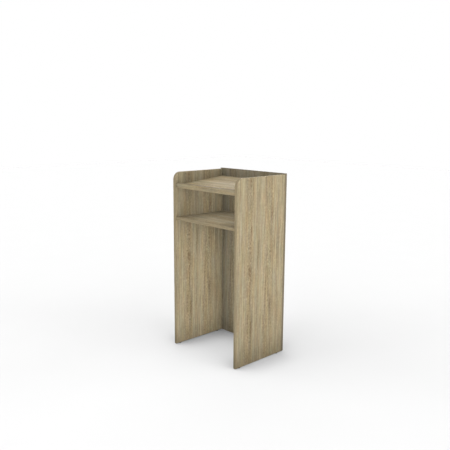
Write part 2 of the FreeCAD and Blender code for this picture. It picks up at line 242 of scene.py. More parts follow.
# Place across the sheet, how pale it is there, and how brown.
GROWTH_BANDS = [
    (0, 0.46, 0.35), (30, 0.55, 0.25), (64, 0.58, 0.3), (96, 0.45, 0.75), (121, 0.38, 0.85),
    (140, 0.46, 0.7), (158, 0.58, 0.2), (190, 0.44, 0.3), (208, 0.57, 0.25), (230, 0.66, 0.25),
    (256, 0.49, 0.75), (305, 0.43, 0.8), (326, 0.5, 0.6), (342, 0.59, 0.35), (372, 0.47, 0.4),
    (399, 0.6, 0.3), (430, 0.47, 0.35)]
HOW_PALE, HOW_BROWN = 1, 2


def streaks(paint, across, along, width, length, detail=2.0, seed=0.0):
    """Noise from 0 to 1, stretched so that a patch is about `width` across and `length` along the grain."""
    inputs = {0: across.scaled(1 / width, seed), 1: along.scaled(1 / length, seed)}
    place = paint.node("CombineXYZ", {}, inputs)
    return paint.node("TexNoise", {"noise_dimensions": "2D"},
                      {"Vector": place, "Scale": 1.0, "Detail": detail, "Roughness": 0.6})


def band_ramp(paint, place, column):
    """A number read off the growth bands, where place goes from 0 to 1 across the sheet."""
    stops = [(stop[0] / SHEET_WIDTH, (stop[column],) * 3 + (1.0,)) for stop in GROWTH_BANDS]
    return paint.node("ValToRGB", {"stops": stops}, {"Fac": place})


def millimetres(paint, place):
    """A place's x, y and z in millimetres."""
    split = paint.node("SeparateXYZ", {}, {0: place})
    return [Shade(paint.tree, socket) * (1 / MM) for socket in split.socket.node.outputs]


print("growth bands", len(GROWTH_BANDS), "on a sheet of", SHEET_WIDTH, "mm")

# %% [markdown]
# Fibres don't run dead straight. Two slow drifts push the sheet from side to side, and each knot pushes it
# apart, before any streak is read, so that the streaks flow round the knots. A knot is a bell over an
# ellipse, frayed by a noise so that its rim has burrs.

# %% Fibres that wander and go round knots
# Each drift: its width and length, its detail and seed, and how far it pushes from end to end.
DRIFTS = [(80, 900, 2.0, 0.0, 10), (16, 300, 2.0, 3.0, 2.4)]
BURR_STREAK, BURR_REACH = (5, 22, 3.0, 5.0), 4
# Each knot: its place across and along, half its width and length, and its depth of colour.
KNOTS = [
    (129, 862, 6, 40, 1.0), (119, 606, 13, 34, 0.9), (131, 246, 6, 60, 0.8), (122, 1172, 9, 36, 0.8),
    (316, 962, 7, 44, 0.8), (305, 366, 5, 66, 0.8), (191, 688, 4, 66, 0.7), (44, 792, 6, 40, 0.4)]
KNOT_PUSH = 0.7


def fibres_round_knots(paint, across, along):
    """Across, pushed by the drifts and away from each knot, and the sum of the knots' bells."""
    for *shape, push in DRIFTS:
        across = across + streaks(paint, across, along, *shape).swing(push)
    burr = streaks(paint, across, along, *BURR_STREAK).swing(BURR_REACH)
    knots = 0.0
    for knot_across, knot_along, half_width, half_length, depth in KNOTS:
        side = across.scaled(1 / half_width, -knot_across / half_width)
        run = along.scaled(1 / half_length, -knot_along / half_length)
        reach = side * side + run * run
        across = across - side * reach.bell() * (KNOT_PUSH * half_width)
        knots = (reach + burr).bell() * depth + knots
    return across, knots


print("drifts", len(DRIFTS), "knots", len(KNOTS))

# %% [markdown]
# The tone of the oak is then a sum: the growth bands, six kinds of streak from broad belts down to single
# fibres, short flecks that gather in clouds inside the brown bands, less the pores and the knots. The tone
# picks a colour between dark and pale, and two slow noises lean that colour to grey or brown, and to green or
# pink, as the ink of such a print does.

# %% The print
# Each kind of streak: its width and length, its detail and seed, and how far it swings the tone.
TONE_STREAKS = {
    "belts": (20, 500, 2.0, 7.0, 0.2), "grain": (9, 330, 2.0, 11.0, 0.76),
    "lines": (4.5, 200, 2.0, 17.0, 0.7), "fibres": (1.2, 60, 2.0, 23.0, 0.26),
    "clouds": (16, 66, 2.0, 37.0, 0.36), "saw marks": (70, 3.0, 1.0, 27.0, 0.14)}
FLECK, PORE = (6, 16, 2.0, 43.0), (0.6, 14, 1.0, 29.0)
BROWN_STREAK, BLUSH_STREAK = (24, 200, 1.5, 31.0), (34, 110, 2.0, 41.0)
# A factor and a shift each: how flecks gather in brown bands and in clouds, and how noises are cut to shape.
BAND_GATHER, CLOUD_GATHER, PORE_CUT = (0.95, 0.15), (3, -0.5), (7, -4.4)
BROWN_LEAN, BLUSH_LEAN = (0.65, 0.17), (2.0, -0.5)
FLECK_SWING, BROWN_SWING = 1.0, 1.9
PORE_DEPTH, KNOT_DEPTH, KNOT_STAIN = 0.12, 0.08, 0.65
GREYER, BROWNER = (0.957, 1.0, 1.068, 1.0), (1.046, 0.988, 0.9, 1.0)
COOLER, WARMER = (0.97, 1.008, 0.985, 1.0), (1.03, 0.992, 1.015, 1.0)
OAK_STOPS = [(0.1, DARK), (0.9, PALE), (0.5, MIDDLE)]


def oak_print(paint, across, along):
    """The print's colour, its tone, and a relief that rises with the fibres and sinks in the pores. Past its
    edges the sheet mirrors itself."""
    across, knots = fibres_round_knots(paint, across, along)
    folded = paint.maths("PINGPONG", across, SHEET_WIDTH) * (1 / SHEET_WIDTH)
    brown_band = band_ramp(paint, folded, HOW_BROWN)
    kinds = {name: streaks(paint, across, along, *shape) for name, (*shape, _) in TONE_STREAKS.items()}
    clusters = brown_band.scaled(*BAND_GATHER) * kinds["clouds"].scaled(*CLOUD_GATHER)
    flecks = streaks(paint, across, along, *FLECK).swing(FLECK_SWING) * clusters
    pores = streaks(paint, across, along, *PORE).scaled(*PORE_CUT).share()
    swings = (kinds[name].swing(reach) for name, (*_, reach) in TONE_STREAKS.items())
    tone = sum(swings, band_ramp(paint, folded, HOW_PALE)) + flecks
    tone = tone - pores * PORE_DEPTH - knots * KNOT_DEPTH
    wood = paint.node("ValToRGB", {"stops": OAK_STOPS}, {"Fac": tone})
    brown_streaks = streaks(paint, across, along, *BROWN_STREAK).swing(BROWN_SWING)
    brown = brown_band.scaled(*BROWN_LEAN) + brown_streaks
    blush = streaks(paint, across, along, *BLUSH_STREAK).scaled(*BLUSH_LEAN)
    tinted = wood.multiplied_by(brown.share().mix(GREYER, BROWNER)).multiplied_by(blush.share().mix(COOLER, WARMER))
    relief = kinds["fibres"] * 0.5 - pores
    return (knots * KNOT_STAIN).share().mix(tinted, KNOT), tone, relief


print("kinds of streak", list(TONE_STREAKS))

# %% [markdown]
# ## Boards
#
# A melamine board shows its print on its two big faces, and raw chipboard wherever it was sawn and not
# banded: here, under the feet of the sides and the back. One finish does both. The object-space normal says
# which way a face looks, and where it isn't the big face the chips show: Voronoi flakes of about 2 mm with
# finer splinters among them.
#
# The grain runs up the sides and the back, and from side to side on the level boards, so each board says
# which of its axes run across and along the sheet, and where on the sheet it was cut. The back and the shelf
# are printed a little darker than the other boards: a painted shade for the lesser light that reaches them
# inside the lectern. The back and the shelf are dyed a little darker, because they look darker in the
# photograph. One view can't tell a darker sheet from less light, so these shades are a guess.

# %% One finish for every board
CHIPS = colour(190, 158, 112), colour(122, 92, 60)
FLAKES_PER_METRE, SPLINTERS_PER_METRE, GRIT_PER_METRE = 480.0, 1300.0, 1500.0
BIG_FACE = 0.7
RAW_ROUGHNESS, PRINT_GLOSS, TONE_GLOSS = 0.8, 0.1, 0.12
NO_SHADE = (1.0, 1.0, 1.0, 1.0)
# Painted shade: the back and the shelf are printed darker, for the lesser light inside the lectern.
BACK_PAINTED_SHADE = (0.86, 0.895, 0.97, 1.0)
SHELF_PAINTED_SHADE = (0.885, 0.895, 0.925, 1.0)


def cut(across_axis, across_start, along_axis, along_start):
    """A function that takes a board's x, y and z in millimetres to its place on the sheet."""
    return lambda *point: (point[across_axis] + across_start, point[along_axis] + along_start)


def board(name, sheet, thickness_axis, shade):
    """A board's finish: the print, times a painted shade where one is given, on the faces that look along the
    thickness, and chips on the others."""

    def describe(paint):
        place = paint.place()
        tint, tone, relief = oak_print(paint, *sheet(*millimetres(paint, place)))
        printed = abs(paint.looks(thickness_axis)) > BIG_FACE
        flakes = paint.node("TexVoronoi", {}, {"Vector": place, "Scale": FLAKES_PER_METRE}, "Color")
        splinters = paint.node("TexVoronoi", {}, {"Vector": place, "Scale": SPLINTERS_PER_METRE}, "Color")
        chips = splinters.scaled(0.4, flakes * 0.6).mix(*CHIPS)
        grit = paint.noise(place, GRIT_PER_METRE)
        return {"Base Color": printed.mix(chips, tint.multiplied_by(shade)),
                "Roughness": printed * (tone * -TONE_GLOSS - PRINT_GLOSS) + RAW_ROUGHNESS,
                "Specular IOR Level": 0.2,
                "Normal": paint.bump(printed * (relief - grit) + grit, 0.25, 0.3 * MM)}

    return finish(name, describe)


on_sides = cut(Y, 225, Z, 0)
on_shelf = cut(Y, 300, X, 2400)
on_reading_board = cut(Y, 235, X, 3300)
dress(board("oak_print_sides", on_sides, X, NO_SHADE), "left_side_panel", "right_side_panel")
dress(board("oak_print_back", cut(X, 455, Z, 0), Y, BACK_PAINTED_SHADE), "back_panel")
dress(board("oak_print_shelf", on_shelf, Z, SHELF_PAINTED_SHADE), "shelf")
dress(board("oak_print_reading_board", on_reading_board, Z, NO_SHADE), "reading_board")
dress(board("oak_print_paper_stop", cut(Z, -1060, X, 4200), Y, NO_SHADE), "paper_stop")

# %% [markdown]
# ## Surfaces from arrays
#
# Every new piece here is a grid of points whose columns close on themselves: a profile carried along a path,
# or an outline turned round an axis. Both use the same quads, and both close their two ends with one face
# each, so one function can put any of them into a mesh.

# %% Grids into meshes
SHARP_ANGLE = math.radians(32)


def ring_faces(rows, columns):
    """Quads between neighbouring rows of a grid whose last column joins its first, then the two end faces."""
    i, j = np.meshgrid(np.arange(rows - 1), np.arange(columns), indexing="ij")
    k = (j + 1) % columns
    quads = np.stack([i * columns + j, i * columns + k, (i + 1) * columns + k, (i + 1) * columns + j], -1)
    first = np.arange(columns)
    return quads.reshape(-1, 4), [first[::-1], first + (rows - 1) * columns]


def add_piece(name, shells, material, body, slot, *nodes):
    """One mesh from several closed grids of points (rows, columns, 3). It rides a body and stands for CAD
    nodes."""
    faces, start = [], 0
    for shell in shells:
        quads, ends = ring_faces(*shell.shape[:2])
        faces += (quads + start).tolist() + [(end + start).tolist() for end in ends]
        start += shell.shape[0] * shell.shape[1]
    mesh = bpy.data.meshes.new(name)
    mesh.from_pydata(np.concatenate([shell.reshape(-1, 3) for shell in shells]).tolist(), [], faces)
    mesh.polygons.foreach_set("use_smooth", np.ones(len(mesh.polygons), bool))
    mesh.set_sharp_from_angle(angle=SHARP_ANGLE)
    mesh.materials.append(material)
    piece = bpy.data.objects.new(name, mesh)
    bpy.context.scene.collection.objects.link(piece)
    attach(piece, body)
    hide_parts(*nodes)
    print("piece", name, "has", len(mesh.polygons), "faces")
    return piece


print("a grid of 3 rows and 4 columns has", len(ring_faces(3, 4)[0]), "quads and 2 end faces")

# %% [markdown]
# ## Edge bands
#
# The sawn edges that show are covered by a plastic strip, 2 mm thick and as wide as the board, with its outer
# corners milled round so that the edge is kind to the hand. That rounding catches a thin line of light, which
# is what tells the eye that this is banded board. A bevel on the CAD strip could do it, but a profile carried
# along the strip's path also gives each point its distance along the strip, and the print needs that distance
# to turn the corner with the band.
#
# Smooth shading leaks from a bend into the flat next to it, so extra points sit close to each bend.

# %% A band's profile, carried along its path
BAND_WIDTH, BAND_THICKNESS, BAND_ROUND = 19 * MM, 2 * MM, 1.5 * MM
EDGE_HUG, FACE_HUG = 0.1 * MM, 0.4 * MM


def band_profile():
    """The band's section as w across and h out from the board: a rectangle whose outer corners are arcs."""
    turn = np.radians(np.linspace(0, 90, 8))
    arc = np.stack([np.cos(turn), np.sin(turn)], 1) * BAND_ROUND
    arc += [BAND_WIDTH / 2 - BAND_ROUND, BAND_THICKNESS - BAND_ROUND]
    half = np.concatenate([[[BAND_WIDTH / 2, 0], [BAND_WIDTH / 2, arc[0, 1] - EDGE_HUG]], arc,
                           [[arc[-1, 0] - FACE_HUG, BAND_THICKNESS]]])
    return np.concatenate([half, half[::-1] * [-1, 1]])


def band(path, outward):
    """Row i, column j is path_i + w_j across + h_j outward_i, where across is square to path and outward."""
    w, h = band_profile().T
    across = np.cross(outward[0], path[1] - path[0])
    across /= np.linalg.norm(across)
    return path[:, None] + w[None, :, None] * across + h[None, :, None] * outward[:, None]


print("a band's profile has", len(band_profile()), "points")

# %% [markdown]
# The map of a band holds two lengths: how far along the path a point lies, and how far round the profile. It
# is written face by face, in the order in which the faces were made: the quads, then the two ends.

# %% A band as a piece with its map
profile = band_profile()
steps = np.linalg.norm(np.diff(profile, axis=0, append=profile[:1]), axis=1)
GIRTH = np.concatenate([[0], np.cumsum(steps)])
print("a band is", round(GIRTH[-1] / MM, 1), "mm round")


def add_band(name, path, outward, node, material):
    """A banded edge as a piece, with a map that gives the distance along the path and round the profile."""
    piece = add_piece(name, [band(path, outward)], material, "lectern", "edge_band", node)
    run = np.concatenate([[0], np.cumsum(np.linalg.norm(np.diff(path, axis=0), axis=1))])
    u, v = np.meshgrid(run, GIRTH, indexing="ij")
    ends = [np.stack([u[0, :-1], v[0, :-1]], 1)[::-1], np.stack([u[-1, :-1], v[-1, :-1]], 1)]
    here, after = slice(None, -1), slice(1, None)
    corners = [(here, here), (here, after), (after, after), (after, here)]
    quads = np.stack([np.stack([u[c], v[c]], -1).reshape(-1, 2) for c in corners], 1)
    layer = piece.data.uv_layers.new(name="band_run")
    values = np.concatenate([quads.reshape(-1, 2), *ends]).astype(np.float32)
    layer.uv.foreach_set("vector", values.ravel())
    print(name, "runs", round(run[-1], 3), "m")


# %% [markdown]
# The band carries its own strip of the same print, a little plainer than the board because it is printed on
# plastic. Its pattern reads the map made above: the first number runs along the band, the second round it.
#
# The bands of the back are the darkest. The bands' shades follow the photograph too. A face that looks up is
# darker than one that looks out, most of all on the paper stop: a painted shade that tones down the light
# from above on the top edges, and on the paper stop a painted shadow for the crease behind it. Hands and
# papers could wear it so, but it may also be the light, so this is a guess as well.

# %% The band's finish
BAND_TINT, PLAINER = colour(166, 151, 121), 0.35
STRIP_ACROSS, STRIP_ALONG = 196, 5200


def band_finish(name, shade, painted_top_shade):
    """A band's finish, whose print is darkened by the shade, and by a painted shade where it looks up."""

    def describe(paint):
        along, across, _ = millimetres(paint, paint.node("UVMap", {"uv_map": "band_run"}, {}))
        tint, tone, relief = oak_print(paint, across + STRIP_ACROSS, along + STRIP_ALONG)
        plainer = paint.node("Mix", {"data_type": "RGBA"}, {0: PLAINER, 6: tint, 7: BAND_TINT}, 2)
        up = paint.looks(Z).share()
        return {"Base Color": plainer.multiplied_by(up.mix(shade, painted_top_shade)),
                "Roughness": tone * -TONE_GLOSS + 0.75, "Specular IOR Level": 0.15,
                "Normal": paint.bump(relief, 0.15, 0.2 * MM)}

    return finish(name, describe)


# The second shade of each band is painted shade on the faces that look up; on the paper stop it is a painted
# shadow for the crease behind it.
band_oak = band_finish("oak_edge_band", (0.97, 0.97, 0.97, 1.0), (0.87, 0.87, 0.88, 1.0))
# The shelf's band is a little paler than the others: painted light on the shelf's lit front edge, set off
# from its shaded top.
band_shelf = band_finish("oak_edge_band_shelf", (1.01, 1.0, 0.99, 1.0), (0.87, 0.87, 0.88, 1.0))
band_stop = band_finish("oak_edge_band_stop", (0.97, 0.97, 0.97, 1.0), (0.62, 0.62, 0.64, 1.0))
band_dark = band_finish("oak_edge_band_back", (0.52, 0.53, 0.57, 1.0), (0.48, 0.48, 0.52, 1.0))

# %% [markdown]
# A straight band needs only its two ends. The sides' bands go up the front edge, round a quarter circle and
# back along the top, with an extra row close to each end of the quarter circle. The paper stop stands square
# to the reading board, so its bands look along the slope's own upward direction.

# %% The eight bands
CORNER_RADIUS, CORNER_STEPS = 50 * MM, 19
TILT = math.radians(5)


def middle(node):
    """A CAD node's centre and its size along x, y and z."""
    low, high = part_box(node)
    return np.array((low + high) / 2), np.array(high - low)


def straight_band(name, node, axis, outward, material):
    """A band whose path is the glued middle line of its CAD strip, along an axis."""
    centre, size = middle(node)
    outward = np.array(outward, float)
    half = np.eye(3)[axis] * size[axis] / 2
    line = centre - outward * BAND_THICKNESS / 2
    add_band(name, np.array([line - half, line + half]), np.array([outward, outward]), node, material)


def side_band(name, node):
    """The front edge, a quarter circle of centre c and radius r, c + r (-cos a, sin a), and the top."""
    (low_x, low_y, low_z), (high_x, high_y, high_z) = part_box(node)
    bend = np.radians(np.linspace(0, 90, CORNER_STEPS))
    turn = np.stack([np.zeros(CORNER_STEPS), -np.cos(bend), np.sin(bend)], 1)
    centre = np.array([(low_x + high_x) / 2, low_y + CORNER_RADIUS, high_z - CORNER_RADIUS])
    arc = centre + turn * (CORNER_RADIUS - BAND_THICKNESS)
    foot, top = [centre[0], arc[0, 1], low_z], [centre[0], high_y, arc[-1, 2]]
    path = np.concatenate([[foot, arc[0] - [0, 0, FACE_HUG]], arc, [arc[-1] + [0, FACE_HUG, 0], top]])
    outward = np.concatenate([turn[:1], turn[:1], turn, turn[-1:], turn[-1:]])
    add_band(name, path, outward, node, band_oak)


side_band("left_side_banding", "left_side_edge_band")
side_band("right_side_banding", "right_side_edge_band")
straight_band("back_top_banding", "back_top_edge_band", X, (0, 0, 1), band_dark)
straight_band("back_left_banding", "back_left_edge_band", Z, (-1, 0, 0), band_dark)
straight_band("back_right_banding", "back_right_edge_band", Z, (1, 0, 0), band_dark)
straight_band("shelf_banding", "shelf_edge_band", X, (0, -1, 0), band_shelf)
stop_up = np.array([0, -math.sin(TILT), math.cos(TILT)])
straight_band("paper_stop_top_banding", "paper_stop_top_edge_band", X, stop_up, band_stop)
straight_band("paper_stop_bottom_banding", "paper_stop_bottom_edge_band", X, -stop_up, band_stop)

# %% [markdown]
# ## Caps over the cam locks
#
# The boards are pulled together by cam locks, and a thin plastic cap with the print of its board hides each
# one. The cap is a shallow dome with a soft rim. It is turned: an outline of radius and height goes once
# round an axis. Where each cap belongs is measured from the CAD node, whose separate discs fall apart into
# groups wherever there is a gap between their points.

# %% Turned surfaces, and where the caps sit
CAP_GAP = 6 * MM


def turned(radius, height, sides=48):
    """Row i, column j is (r cos t, r sin t, z), from millimetres: a radius for each row, or for each row and
    column, turned about z."""
    t = np.arange(sides) * (2 * np.pi / sides)
    radius = np.broadcast_to(np.asarray(radius, float).reshape(len(height), -1), (len(height), sides))
    z = np.broadcast_to(np.asarray(height, float)[:, None], radius.shape)
    return np.stack([radius * np.cos(t), radius * np.sin(t), z], -1) * MM


def facing(outward):
    """A turn that takes z to the outward direction."""
    return np.array(Vector((0, 0, 1)).rotation_difference(Vector(outward)).to_matrix())


def separate_solids(node):
    """The lowest and highest corners of each solid in a node, told apart by gaps along x, y or z."""
    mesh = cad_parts[node].data
    points = np.empty(len(mesh.vertices) * 3)
    mesh.vertices.foreach_get("co", points)
    points = points.reshape(-1, 3)
    order = np.argsort(points, axis=0)
    labels = np.empty(points.shape, int)
    for axis in (X, Y, Z):
        along = points[order[:, axis], axis]
        labels[order[:, axis], axis] = np.cumsum(np.diff(along, prepend=along[0]) > CAP_GAP)
    _, group = np.unique(labels, axis=0, return_inverse=True)
    group = group.ravel()
    return [(points[group == g].min(0), points[group == g].max(0)) for g in range(group.max() + 1)]


print("caps under the shelf", len(separate_solids("shelf_cam_caps")))

# %% [markdown]
# The caps under the shelf and under the reading board look down, the latter square to the slope. The caps
# over the locks of the back sit on the inner faces of the two sides and look at each other. A fine moulded
# grain tells their plastic from the paper of the boards.

# %% Sixteen caps
# Radius and height in millimetres, from the plug in the hole, over the flange, to the top of the dome.
CAP_OUTLINE = np.array([
    (0.6, -0.8), (7.5, -0.8), (7.5, 0), (8.75, 0), (8.75, 0.3), (8.66, 0.5), (8.45, 0.66), (8.1, 0.76),
    (6.5, 0.88), (4.2, 0.96), (1.8, 1.0), (0.6, 1.0)])
CAP_SINK = 0.1 * MM
MOULD_GRAIN = 2600.0


def cap_finish(name, sheet, shade):
    """A cap's finish: the print of the board that it sits on, on plastic with a fine moulded grain."""

    def describe(paint):
        place = paint.place()
        tint, tone, _ = oak_print(paint, *sheet(*millimetres(paint, place)))
        grain = paint.noise(place, MOULD_GRAIN)
        return {"Base Color": tint.multiplied_by(shade), "Roughness": tone * -0.1 + grain * 0.1 + 0.68,
                "Specular IOR Level": 0.2, "Normal": paint.bump(grain, 0.2, 0.1 * MM)}

    return finish(name, describe)


def add_caps(name, node, sheet, shade, looks):
    """A cap on each disc of the node, its flange on the board: looks(centre) is the way that cap faces."""
    shells = []
    for low, high in separate_solids(node):
        centre = (low + high) / 2
        outward = np.array(looks(centre), float)
        shells.append(turned(*CAP_OUTLINE.T) @ facing(outward).T + centre - outward * CAP_SINK)
    add_piece(name, shells, cap_finish(f"{name}_print", sheet, shade), "lectern", "cap_plastic", node)
    print(name, "has", len(shells), "caps")


# The caps under the shelf take the shelf's painted shade.
add_caps("shelf_lock_covers", "shelf_cam_caps", on_shelf, SHELF_PAINTED_SHADE, lambda centre: (0, 0, -1))
add_caps("reading_board_lock_covers", "reading_board_cam_caps", on_reading_board, NO_SHADE,
         lambda centre: -stop_up)
add_caps("back_lock_covers", "back_cam_caps", on_sides, NO_SHADE,
         lambda centre: (-math.copysign(1, centre[0]), 0, 0))

# %% [markdown]
# ## Metal and beech inside the joints
#
# Under the caps sit cast zinc cams, and in the board edges plated bolts and beech dowels. They are out of
# sight once the lectern stands, but they are real pieces, so each gets its own finish: metals with a cloudy,
# slightly uneven gloss, and beech with the short brown flecks that tell it from oak.

# %% Fastener finishes
TARNISH, METAL_GRIT = 0.72, 4000.0
BEECH_GRAIN = (120.0, 1400.0, 1400.0)


def metal(name, tint, rough, blotch, spread):
    """A metal whose gloss and tint drift by a noise of `blotch` patches per metre."""

    def describe(paint):
        place = paint.place()
        cloud = paint.noise(place, blotch, 4.0)
        darker = tuple(c * TARNISH for c in tint[:3]) + (1.0,)
        return {"Base Color": cloud.mix(darker, tint), "Metallic": 1.0, "Roughness": cloud * spread + rough,
                "Normal": paint.bump(paint.noise(place, METAL_GRIT), 0.15, 0.05 * MM)}

    return finish(name, describe)


def beech(paint):
    """Pale wood with short flecks: a noise drawn out along x, and a finer one cut off at a threshold."""
    settings = {"operation": "MULTIPLY"}
    drawn_out = paint.node("VectorMath", settings, {0: paint.place(), 1: BEECH_GRAIN})
    grain = paint.noise(drawn_out, 1.0, 3.0)
    flecks = paint.noise(drawn_out, 2.5).scaled(6, -3.6).share()
    wood = grain.mix(colour(196, 152, 108), colour(226, 190, 146))
    return {"Base Color": flecks.mix(wood, colour(150, 100, 64)), "Roughness": grain * 0.2 + 0.55,
            "Normal": paint.bump(grain, 0.2, 0.1 * MM)}


zinc = metal("cast_zinc", (0.50, 0.50, 0.51, 1.0), 0.36, 260.0, 0.2)
plated_steel = metal("plated_steel", (0.62, 0.61, 0.59, 1.0), 0.22, 420.0, 0.18)
brass = metal("turned_brass", (0.72, 0.52, 0.24, 1.0), 0.2, 320.0, 0.2)
beech_wood = finish("beech", beech)
dress(zinc, "shelf_cams", "reading_board_cams", "back_cams")
dress(plated_steel, "shelf_cam_bolts", "reading_board_cam_bolts", "back_cam_bolts")
dress(beech_wood, "shelf_dowels", "reading_board_dowels", "back_dowels", "paper_stop_dowels")
dress(brass, "glide_inserts")

# %% [markdown]
# ## Levelling glides
#
# Each side stands on two glides: a black plastic pad on the floor, and a steel stem that is screwed into a
# brass insert in the panel's foot. Turning the stem's hexagon lifts or lowers that corner. The CAD model
# keeps the screw as a plain rod, because it is the coupling in its joints that stands for the thread. Here
# the rod gets its thread back: the radius rises and falls with the height less the turn, so the ridge climbs
# one pitch each turn.

# %% Threads and hexagons
# All in millimetres. Over the last turns the thread sinks into a short cone, so that it starts easily.
PITCH, CREST, ROOT = 1.25, 3.98, 3.35
STEPS_PER_PITCH, LEAD_TURNS, LEAD_SINK = 8, 1.5, 0.35
SPANNER_SIZE = 12.0


def thread(low, high, sides=40):
    """Radius = root + ridge, where the ridge is a triangle wave of height / pitch - turn, stretched and
    clipped so that crest and root are flat."""
    z = np.arange(low, high, PITCH / STEPS_PER_PITCH)
    climb = z[:, None] / PITCH - np.arange(sides) / sides
    ridge = np.clip(np.abs(2 * (climb % 1) - 1) * 1.3 - 0.15, 0, 1)
    lead_in = np.minimum(1, (high - z) / (LEAD_TURNS * PITCH))[:, None]
    return turned(ROOT - LEAD_SINK + LEAD_SINK * lead_in + (CREST - ROOT) * ridge * lead_in, z, sides)


def hexagon(low, high, sides=72):
    """Radius = the least of the hexagon's flats and a cone that takes off its corners above and below."""
    turn = np.radians((np.arange(sides) * 360 / sides) % 60 - 30)
    flat = SPANNER_SIZE / 2
    corner = flat / math.cos(math.radians(30))
    z = np.array([low, low + 0.2, low + 0.5, high - 0.5, high - 0.2, high])
    cone = np.array([corner - 0.8, corner - 0.4, corner, corner, corner - 0.4, corner - 0.8])
    return turned(np.minimum(flat / np.cos(turn), cone[:, None]), z, sides)


print("a thread 10 mm long has", thread(0, 10).shape[0], "rows of points")

# %% [markdown]
# The pad is turned from an outline with a hollow sole, so that it stands on a ring, and a round rim. Its
# plastic has a moulded grain and paler scuffs. Pad and stem ride on their own bodies, so they go down
# together while only the stem turns.

# %% Four glides
# Radius and height in millimetres, from the hollow of the sole, round the rim, to the socket of the stem.
PAD_OUTLINE = np.array([
    (1.0, 0.25), (5.4, 0.25), (5.8, 0), (8.2, 0), (8.55, 0.07), (8.82, 0.3), (8.95, 0.62), (9, 1.0), (9, 1.9),
    (8.92, 2.25), (8.72, 2.55), (8.4, 2.74), (8.0, 2.8), (3.35, 2.8), (3.1, 2.7), (3.1, 1.2), (1.0, 1.2)])
SPIGOT_RADII, SPIGOT_TOP = [1.0, 2.8, 3.0, 3.0, 1.0], 3.2
HEXAGON_LOW, HEXAGON_HIGH, THREAD_LOW = 2.9, 4.9, 4.7


def pad_finish(paint):
    """Black plastic: a fine grain in its gloss and relief, and scuffs where a coarse noise is high."""
    place = paint.place()
    grain = paint.noise(place, 1800.0, 3.0)
    scuffs = paint.noise(place, 240.0, 4.0).scaled(4, -2.2).share()
    return {"Base Color": scuffs.mix(colour(40, 40, 41), colour(70, 69, 68)),
            "Roughness": grain * 0.25 + 0.4, "Normal": paint.bump(grain, 0.25, 0.1 * MM)}


pad_plastic = finish("pad_plastic", pad_finish)
for spot in ("front_left", "rear_left", "front_right", "rear_right"):
    pad, stem = f"glide_pad_{spot}", f"glide_stem_{spot}"
    centre, _ = middle(pad)
    foot = np.array([centre[0], centre[1], 0.0])
    low, high = (corner[2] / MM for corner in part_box(stem))
    spigot = turned(SPIGOT_RADII, [low, low, low + 0.2, SPIGOT_TOP, SPIGOT_TOP], 32)
    shells = [spigot, hexagon(HEXAGON_LOW, HEXAGON_HIGH), thread(THREAD_LOW, high)]
    add_piece(f"pad_{spot}_turned", [turned(*PAD_OUTLINE.T) + foot], pad_plastic, f"pad_{spot}",
              "pad_plastic", pad)
    add_piece(f"stem_{spot}_threaded", [shell + foot for shell in shells], plated_steel, f"stem_{spot}",
              "stem_steel", stem)

# %% [markdown]
# ## The studio
#
# The lectern stands on a white floor under a white sky, so that nothing but its own soft shadow breaks the
# ground. Light that is bounced to and fro between brown boards would turn the inside browner than a soft
# studio shows it. Cycles can put a simple ambient light in the place of the bounces: every point gets the
# sky's light, less what stands in its way within a short reach. That shades the corners softly and keeps the
# oak's colour clean.
#
# The camera sees the sky pure white, whatever its strength as a light.

# %% Floor and ambient light
FLOOR_SIZE, AMBIENT, REACH = 30.0, 0.726, 0.195
FLOOR_DIM, FLOOR_PALE = (0.645, 0.645, 0.645, 1.0), (0.655, 0.655, 0.655, 1.0)


def floor_finish(paint):
    """Matt white with a faint cloud."""
    cloud = paint.noise(paint.place(), 3.0)
    return {"Base Color": cloud.mix(FLOOR_DIM, FLOOR_PALE), "Roughness": 1.0, "Specular IOR Level": 0.0}


square = np.array([(-1, -1, 0), (1, -1, 0), (1, 1, 0), (-1, 1, 0)]) * FLOOR_SIZE / 2
floor_mesh = bpy.data.meshes.new("studio_floor")
floor_mesh.from_pydata(square.tolist(), [], [(0, 1, 2, 3)])
floor_mesh.materials.append(finish("white_floor", floor_finish))
floor = bpy.data.objects.new("studio_floor", floor_mesh)
bpy.context.scene.collection.objects.link(floor)

world = bpy.data.worlds.new("white_sky")
world.use_nodes = True
seen = Shade(world.node_tree).node("LightPath", {}, {}, "Is Camera Ray")
background = world.node_tree.nodes["Background"].inputs
background["Color"].default_value = (1.0, 1.0, 1.0, 1.0)
world.node_tree.links.new(seen.scaled(1.0 - AMBIENT, AMBIENT).socket, background["Strength"])
world.light_settings.distance = REACH
bounces = bpy.context.scene.cycles
bounces.use_fast_gi = True
bounces.fast_gi_method = "REPLACE"
bounces.ao_bounces_render = 1
bpy.context.scene.world = world
bpy.context.scene.view_settings.view_transform = "Standard"
print("floor", FLOOR_SIZE, "m, ambient light", AMBIENT, "with a reach of", REACH, "m")

# %% [markdown]
# The ambient light alone would look flat. Soft lights from above, from the right and from the front shape the
# lectern, a weak one from behind lights the faces that the camera doesn't see, and one comes up from the
# right, through the floor, and lifts the inner faces. The floor itself answers none of them. It has a wash
# of its own, from five broad lights whose shadows melt into one another.
#
# Light linking says which light falls on what: a collection names the pieces that a light falls on, or those
# that are left out. Every light is sampled only as a light, without multiple importance sampling. The ambient
# rays are short, and one that ends in front of a board would otherwise meet a light that the board hides.

# %% Soft lights
def light_group(name, state, *members):
    """A collection that names what a light falls on (INCLUDE) or leaves out (EXCLUDE)."""
    group = bpy.data.collections.new(name)
    for i, member in enumerate(members):
        group.objects.link(member)
        group.collection_objects[i].light_linking.link_state = state
    return group


